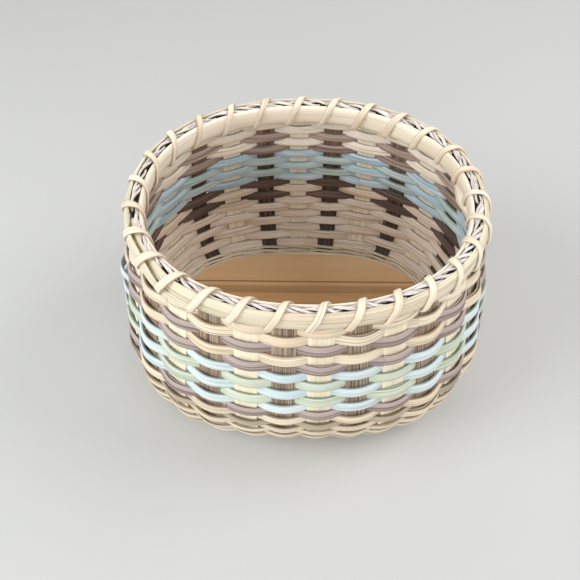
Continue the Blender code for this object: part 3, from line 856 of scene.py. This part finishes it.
def spoke(index):
    """One upright, from the cord down the wall and bent into the board's groove."""
    finish = "natural_spoke" if index % 2 else "smoked_spoke"
    lengths = np.append(np.linspace(SPOKE_TOP, WALL_LENGTH - BEND_START, SPOKE_STEPS),
                        WALL_LENGTH - BEND_MIDDLE)
    u = np.full(len(lengths), float(index))
    centres = wall_point(u, lengths)
    out_x, out_y = plane(np.array([float(index)]))[1][0]
    outward = np.array([out_x, out_y, 0.0])
    side = np.array([-out_y, out_x, 0.0])
    foot = wall_point(float(index), WALL_LENGTH)
    foot[2] = GROOVE_HEIGHT
    centres = np.vstack([centres, [foot - outward * away for away in FOOT_PLACES]])
    sway = SPOKE_SWAY * np.sin(np.linspace(0.0, 5.0, len(centres)) + rng.uniform(0.0, TURN))
    centres = centres + side * sway[:, None]
    path = unit(np.gradient(centres, axis=0))
    across = square_to(path, side)
    through = unit(np.cross(path, across))
    # The outer face of the upright turns to the underside of its foot
    side_shown = np.where(np.abs(through[:, 2]) > 0.9, -through[:, 2], through @ outward)
    through = np.where(side_shown[:, None] < 0.0, -through, through)
    width = SPOKE_WIDTH / 2.0 * (1.0 + rng.uniform(-SPOKE_SPREAD, SPOKE_SPREAD)
                                 + 0.01 * np.sin(np.linspace(0.0, 7.0, len(centres)) + index))
    made = strip("upright_%02d" % (index + 1), centres, through, across, SPOKE_THICKNESS / 2.0,
                 width, SPOKE_SECTION, MATERIALS[finish], along_start=index * 173.0)
    return place(made, "spoke_%02d" % (index + 1), finish)


# The rim row, in mm: its drop, its swing, half its thickness and half its width
RIM_ROW_DROP = 5.6
RIM_ROW_SWING = 1.2
RIM_ROW_HALF_THICK = 0.5
RIM_ROW_HALF_WIDTH = 3.8


def rim_row():
    """The flat row hidden under the bands."""
    count = SPOKES * STEPS
    u = np.linspace(0.0, SPOKES, count, endpoint=False)
    point, outward, downward = wall_frame(u, np.full(count, RIM_ROW_DROP))
    centres = point + outward * wave_bow(u, RIM_ROW_SWING)[:, None]
    made = strip("rim_row_reed", centres, outward, downward, RIM_ROW_HALF_THICK,
                 RIM_ROW_HALF_WIDTH, REED_SECTION, MATERIALS["natural_reed"], closed=True,
                 along_start=3000.0)
    return place(made, "rim_row", "natural_reed")


# Rim: two bands, the cord between them and the lacing

# Where each band's scarf starts and its length, in spokes
OUTER_SCARF = (14.4, 3.2)
INNER_SCARF = (3.2, 2.6)
# Points from one spoke to the next
BAND_STEPS = 10
BAND_MIDDLE = BAND_INNER + BAND_FLAT * BAND_THICKNESS / 2.0
# The outer band's first end, the stretch that passes outside it and the last end: where each
# is eased, in spokes, and what each adds, in mm, to how far out the band lies, to half its
# thickness, to half its width and to its drop
OUTER_EASES = ((2.7, 1.5), (SPOKES - 0.4, SPOKES + 0.6), (SPOKES + 1.1, SPOKES + 2.4))
OUTER_CHANGES = np.array([
    (0.20 - BAND_MIDDLE, -0.30, -1.5, -0.9),
    (1.1, -0.45, -0.3, 0.2),
    (0.9, -0.25, -2.3, 4.4),
])
# Where the inner band's last end is eased in, in spokes, and how much thinner both ends are
INNER_EASE = (SPOKES - 0.6, SPOKES + 0.2)
INNER_THINNING = 0.60


def rim_wave(u, phase):
    """Slow rise and fall of a band's edge, in mm."""
    return 0.20 * np.sin(TURN * 3.0 * u / SPOKES + phase)


def outer_band():
    """The outer band: one end starts in the trough and comes out, the other passes it
    outside, runs down a little and is cut off."""
    u, travelled = once_round(*OUTER_SCARF, BAND_STEPS)
    shares = np.stack([ramp_between(travelled, *ease) for ease in OUTER_EASES])
    out, thicker, wider, lower = OUTER_CHANGES.T @ shares
    half = OUTER_BAND_WIDTH / 2.0
    point, outward, downward = wall_frame(u, half - BAND_RAISE + rim_wave(u, 1.0) + lower)
    centres = point + outward * (BAND_MIDDLE + out)[:, None]
    made = strip("outer_band", centres, outward, downward, BAND_THICKNESS / 2.0 + thicker,
                 half + wider, BAND_SECTION, MATERIALS["rim_reed"], along_start=4900.0)
    return place(made, "rim_outer", "rim_reed")


def inner_band():
    """The inner band leans away from the wall at its lower edge; its shaved ends overlap."""
    overlap = INNER_SCARF[1]
    u, travelled = once_round(*INNER_SCARF, BAND_STEPS)
    first = 1.0 - ramp_between(travelled, 0.0, overlap)
    last = ramp_between(travelled, SPOKES, SPOKES + overlap)
    lapped = ramp_between(travelled, *INNER_EASE)
    half_thick = BAND_THICKNESS / 2.0 * (1.0 - INNER_THINNING * first - INNER_THINNING * last)
    half = INNER_BAND_WIDTH / 2.0
    offset = (BAND_INNER + BAND_FLAT * half_thick + INNER_BAND_LEAN * half
              + lapped * (1.0 - 0.5 * last))
    lengths = half - BAND_RAISE + rim_wave(u, -1.0)
    point, outward, downward = wall_frame(u, lengths)
    across = unit(downward - outward * INNER_BAND_LEAN)
    through = unit(-outward - downward * INNER_BAND_LEAN)
    centres = point - outward * offset[:, None]
    made = strip("inner_band_reed", centres, through, across, half_thick, half, BAND_SECTION,
                 MATERIALS["smooth_painted_light_rim_reed"], along_start=3100.0)
    return place(joined([made, band_tongue()], "inner_band"), "rim_inner", "rim_reed")


# The tongue: its two ends and its crest, in spokes, how far inside it lies and how much
# further at the crest, in mm, and its lean there in the same way, in degrees
TONGUE_SPAN = (1.85, -0.20)
TONGUE_CREST = 0.62
TONGUE_SPREAD = 0.60
TONGUE_INSIDE = (4.4, 2.7)
TONGUE_LEAN = (20.0, 32.0)
TONGUE_STEPS = 42


def band_tongue():
    """The shaved end that shows below the inner band's edge, bent in towards the middle."""
    u = np.linspace(*TONGUE_SPAN, TONGUE_STEPS)
    ends = np.sin(math.pi * np.linspace(0.04, 1.0, TONGUE_STEPS)) ** 0.45
    clear = np.exp(-((u - TONGUE_CREST) / TONGUE_SPREAD) ** 2)
    low = INNER_BAND_WIDTH - BAND_RAISE
    lengths = low - 1.4 + 1.9 * ramp_between(-u, -1.8, -1.0)
    point, outward, downward = wall_frame(u, lengths)
    lean = np.radians(TONGUE_LEAN[0] + TONGUE_LEAN[1] * clear)[:, None]
    centres = point - outward * (TONGUE_INSIDE[0] + TONGUE_INSIDE[1] * clear)[:, None]
    through = -outward * np.cos(lean) - downward * np.sin(lean)
    across = downward * np.cos(lean) - outward * np.sin(lean)
    return strip("band_tongue", centres, through, across, 0.2 + 0.4 * ends, 0.4 + 2.3 * ends,
                 REED_SECTION, MATERIALS["rim_lash"], along_start=3500.0)


CORD_TURNS = 24
CORD_STEPS = 24
# How far the strands lie from the cord's middle and half their width, in mm, and how much
# lower than wide they lie and are
STRAND_ORBIT = 1.30
STRAND_HALF = 0.80
STRAND_FLATNESS = 0.85
# At the outer band's first end: where the cord gives way, in spokes, how far it moves in, in
# mm, and how much tighter it gets
CORD_NARROW = (13.6, 14.6, 16.6, 17.6)
CORD_ASIDE = 1.15
CORD_TIGHTENING = 0.42


def rim_cord():
    """Three loose strands laid round each other between the bands, on a strip of painted shade."""
    count = CORD_TURNS * CORD_STEPS
    u = np.linspace(0.0, SPOKES, count, endpoint=False)
    point, outward, downward = wall_frame(u, np.full(count, -0.2))
    scarf = stretch(u, *CORD_NARROW)
    aside = wander(u, SPOKES, 0.16) - CORD_ASIDE * scarf
    tight = 1.0 - CORD_TIGHTENING * scarf
    parts = []
    for strand in range(3):
        angle = TURN * (strand / 3.0 + CORD_TURNS * u / SPOKES) + wander(u, SPOKES, 0.75, 5)
        orbit = STRAND_ORBIT + wander(u, SPOKES, 0.30, 5)
        away = np.cos(angle) * orbit * tight + aside
        drop = np.sin(angle) * orbit * STRAND_FLATNESS
        centres = point + outward * away[:, None] + downward * drop[:, None]
        path = unit(np.roll(centres, -1, axis=0) - np.roll(centres, 1, axis=0))
        radial = outward * np.cos(angle)[:, None] + downward * np.sin(angle)[:, None]
        through = square_to(path, radial)
        half = STRAND_HALF * (1.0 + wander(u, SPOKES, 0.18, 5)) * (0.6 + 0.4 * tight)
        parts.append(strip("cord_strand_%d" % (strand + 1), centres, through,
                           np.cross(path, through), half * STRAND_FLATNESS, half, ROUND_SECTION,
                           MATERIALS["filler_cord"], closed=True,
                           along_start=6000.0 + 700.0 * strand))
    # Painted shade: a near-black strip in the trough under the strands, for the gaps between them
    parts.append(strip("painted_shade_core", point + outward * aside[:, None] + downward * 1.1, outward,
                       downward, 1.7, 0.9, ROUND_SECTION, MATERIALS["painted_shade_core"], closed=True,
                       along_start=8800.0))
    return place(joined(parts, "rim_cord"), "rim_filler", "filler_cord")


LASH_HALF_THICK = 0.66
LASH_HALF_WIDTH = 1.95
LASH_STEPS = 3
# Where it crosses the scarfs, in spokes, and how much further out it runs there, in mm
OUTER_CROSSING = (15.4, 17.0, 17.5, 18.1)
INNER_CROSSING = (2.6, 3.4, 5.6, 6.4)
OUTER_ROOM = 1.5
INNER_ROOM = 0.8


def lacing():
    """One long strip wound round the rim, once in each gap between spokes."""
    half = LASH_HALF_THICK
    out = BAND_INNER + BAND_THICKNESS + half
    low = OUTER_BAND_WIDTH - BAND_RAISE + half
    deep = INNER_BAND_WIDTH - BAND_RAISE + half
    lean = INNER_BAND_LEAN
    # Distance outward, drop, and share of the way to the next gap between spokes
    loop = np.array([
        (2.4, low + 0.1, 0.11), (out - 1.2, low, 0.12), (out - 0.35, low - 1.5, 0.16),
        (out + 0.05, 4.4, 0.25), (out - 0.05, 1.9, 0.33), (out - 1.0, -0.4, 0.39),
        (out - 2.3, -1.9, 0.44), (1.3, -2.65, 0.48), (-1.3, -2.65, 0.53), (-out + 2.4, -1.9, 0.58),
        (-out + 1.0, -0.3, 0.63), (-out + 0.15 - 2.0 * lean, 2.2, 0.68),
        (-out - 0.05 - 5.0 * lean, 5.4, 0.74), (-out - 0.05 - 8.0 * lean, 8.6, 0.80),
        (-out + 0.4 - 11.0 * lean, deep - 1.7, 0.86), (-out + 1.6 - 11.0 * lean, deep + 0.05, 0.90),
        (-2.9, deep - 1.2, 0.95), (0.0, (low + deep) / 2.0 - 0.8, 1.03),
    ])
    places = np.array([(turn + 0.5 + at, away, drop) for turn in range(SPOKES)
                       for away, drop, at in loop])
    u, away, drop = smooth_curve(places, LASH_STEPS * (len(places) - 1) + 1).T
    point, outward, downward = wall_frame(u, np.full(len(u), 0.5))
    away = away + np.clip(away / out, 0.0, 1.0) * OUTER_ROOM * stretch(u, *OUTER_CROSSING)
    away = away + np.clip(away / out, -1.0, 0.0) * INNER_ROOM * stretch(u, *INNER_CROSSING)
    slack = 1.0 + 0.02 * (1.0 + np.sin(u * 1.7))
    centres = point + outward * (away * slack)[:, None] + downward * (drop - 0.5)[:, None]
    path = unit(np.gradient(centres, axis=0))
    radial = outward * away[:, None] + downward * ((drop - 5.5) * 0.35)[:, None]
    across = unit(np.cross(path, radial))
    through = facing(unit(np.cross(across, path)), radial)
    width = LASH_HALF_WIDTH * (1.0 + wander(u, SPOKES, 0.07, 4))
    made = strip("rim_lash", centres, through, across, half * 0.95, width, LACING_SECTION,
                 MATERIALS["rim_lash"], along_start=9000.0)
    return place(made, "rim_lacing", "rim_reed")


BOARD_CORNERS = 240


def board():
    """The base board: a flat oval with eased edges and a groove round its edge."""
    eased_edge = [(1.3, 0.0), (0.45, 0.25), (0.0, 1.2)]
    groove_low = GROOVE_HEIGHT - GROOVE_HALF_WIDTH
    groove_high = GROOVE_HEIGHT + GROOVE_HALF_WIDTH
    groove = [(0.0, groove_low), (GROOVE_DEPTH, groove_low), (GROOVE_DEPTH, groove_high),
              (0.0, groove_high)]
    upper_edge = [(inset, BOARD_THICKNESS - height) for inset, height in reversed(eased_edge)]
    # Inset from the outline and height, from the underside up
    side = eased_edge + groove + upper_edge
    corners = BOARD_CORNERS
    vertices = []
    for inset, height in side:
        x, y = oval(BOARD_HALF_LENGTH - inset, BOARD_HALF_WIDTH - inset, BOARD_EXPONENT, corners)
        vertices += [(x[index] * MM, y[index] * MM, height * MM) for index in range(corners)]
    faces = ring_faces(len(side) - 1, corners, len(side))
    faces.append(tuple(range(corners))[::-1])
    top = (len(side) - 1) * corners
    faces.append(tuple(top + index for index in range(corners)))
    mesh = bpy.data.meshes.new("board")
    mesh.from_pydata(vertices, [], faces)
    mesh.update()
    made = new_object("board", mesh, MATERIALS["base_wood"], sharp=40.0)
    return place(made, "base_board", "base_wood")


for number in range(1, ROWS + 1):
    weaver(number)
for number in range(1, BASE_ROWS + 1):
    base_row(number)
for number in range(SPOKES):
    spoke(number)
rim_row()
outer_band()
inner_band()
rim_cord()
lacing()
board()


# Floor, light and camera

# The floor's size and height, in metres
FLOOR_SIZE = 8.0
FLOOR_HEIGHT = -0.0002
# The floor's colour and the world's strength, for light and as seen
FLOOR_FOR_LIGHT = (0.58, 0.58, 0.57, 1.0)
FLOOR_SEEN = (0.56, 0.56, 0.55, 1.0)
WORLD_FOR_LIGHT = 0.47
WORLD_SEEN = 0.78
# The camera that was fitted to the photo: its lens and place, and its turns in radians
SENSOR_WIDTH = 36.0
PHOTO_WIDTH = 580.0
LENS_IN_PIXELS = 574.3
CAMERA_PLACE = (-0.0047, -0.2349, 0.3513)
CAMERA_PITCH = 0.903
CAMERA_YAW = 0.018
CAMERA_ROLL = 0.004


def seen_directly(tree):
    """One for what the camera sees, also by reflection or through glass, zero for light."""
    path = tree.nodes.new("ShaderNodeLightPath")
    total = path.outputs["Is Camera Ray"]
    for name in ("Is Glossy Ray", "Is Transmission Ray"):
        added = tree.nodes.new("ShaderNodeMath")
        added.operation = "ADD"
        added.use_clamp = True
        tree.links.new(total, added.inputs[0])
        tree.links.new(path.outputs[name], added.inputs[1])
        total = added.outputs[0]
    return total


def floor():
    nodes = Nodes("floor_paint")
    colour = nodes.mix(seen_directly(nodes.tree), FLOOR_FOR_LIGHT, FLOOR_SEEN)
    nodes.link(colour, nodes.shader.inputs["Base Color"])
    nodes.shader.inputs["Roughness"].default_value = 0.9
    bpy.ops.mesh.primitive_plane_add(size=FLOOR_SIZE, location=(0.0, 0.0, FLOOR_HEIGHT))
    ground = bpy.context.active_object
    ground.name = "floor"
    ground.data.materials.append(nodes.material)


def lamp(name, location, target, size, energy, colour=(1.0, 1.0, 1.0)):
    """A round area lamp that points at the target; metres and watts."""
    data = bpy.data.lights.new(name, "AREA")
    data.shape = "DISK"
    data.size = size
    data.energy = energy
    data.color = colour
    made = bpy.data.objects.new(name, data)
    made.location = location
    made.rotation_euler = (Vector(target) - Vector(location)).to_track_quat("-Z", "Y").to_euler()
    bpy.context.scene.collection.objects.link(made)


def world():
    scene = bpy.context.scene
    scene.world = bpy.data.worlds.new("studio")
    scene.world.use_nodes = True
    tree = scene.world.node_tree
    background = tree.nodes["Background"]
    background.inputs["Color"].default_value = WHITE
    strength = tree.nodes.new("ShaderNodeMapRange")
    tree.links.new(seen_directly(tree), strength.inputs["Value"])
    strength.inputs["To Min"].default_value = WORLD_FOR_LIGHT
    strength.inputs["To Max"].default_value = WORLD_SEEN
    tree.links.new(strength.outputs["Result"], background.inputs["Strength"])


def camera():
    data = bpy.data.cameras.new("camera")
    data.sensor_fit = "HORIZONTAL"
    data.sensor_width = SENSOR_WIDTH
    data.lens = SENSOR_WIDTH * LENS_IN_PIXELS / PHOTO_WIDTH
    data.clip_start = 0.01
    data.clip_end = 50.0
    made = bpy.data.objects.new("camera", data)
    forward = Vector((0.0, math.cos(CAMERA_PITCH), -math.sin(CAMERA_PITCH)))
    up = Vector((0.0, math.sin(CAMERA_PITCH), math.cos(CAMERA_PITCH)))
    right = forward.cross(up)
    turned = Matrix.Rotation(CAMERA_ROLL, 3, forward)
    about = Matrix.Rotation(CAMERA_YAW, 3, "Z")
    right, up, forward = (about @ (turned @ vector) for vector in (right, up, forward))
    rotation = Matrix((right, up, -forward)).transposed()
    made.matrix_world = Matrix.Translation(CAMERA_PLACE) @ rotation.to_4x4()
    bpy.context.scene.collection.objects.link(made)
    bpy.context.scene.camera = made


floor()
world()
lamp("front", (0.50, -0.72, 1.00), (0.0, 0.0, 0.09), 0.7, 2.3)
lamp("low_front", (-0.15, -1.25, 0.62), (0.0, 0.05, 0.12), 0.6, 3.3)
lamp("left", (-0.98, -0.38, 0.82), (0.0, 0.0, 0.10), 0.8, 10.0, (0.95, 0.99, 1.0))
lamp("right", (0.92, 0.12, 0.95), (0.0, 0.0, 0.10), 0.8, 6.8)
lamp("top", (0.0, 0.10, 1.30), (0.0, 0.0, 0.07), 1.8, 1.0)
lamp("back", (0.15, 1.10, 0.75), (0.0, 0.0, 0.08), 0.8, 1.6)
camera()
bpy.context.scene.view_settings.view_transform = "Standard"

bpy.context.view_layer.update()
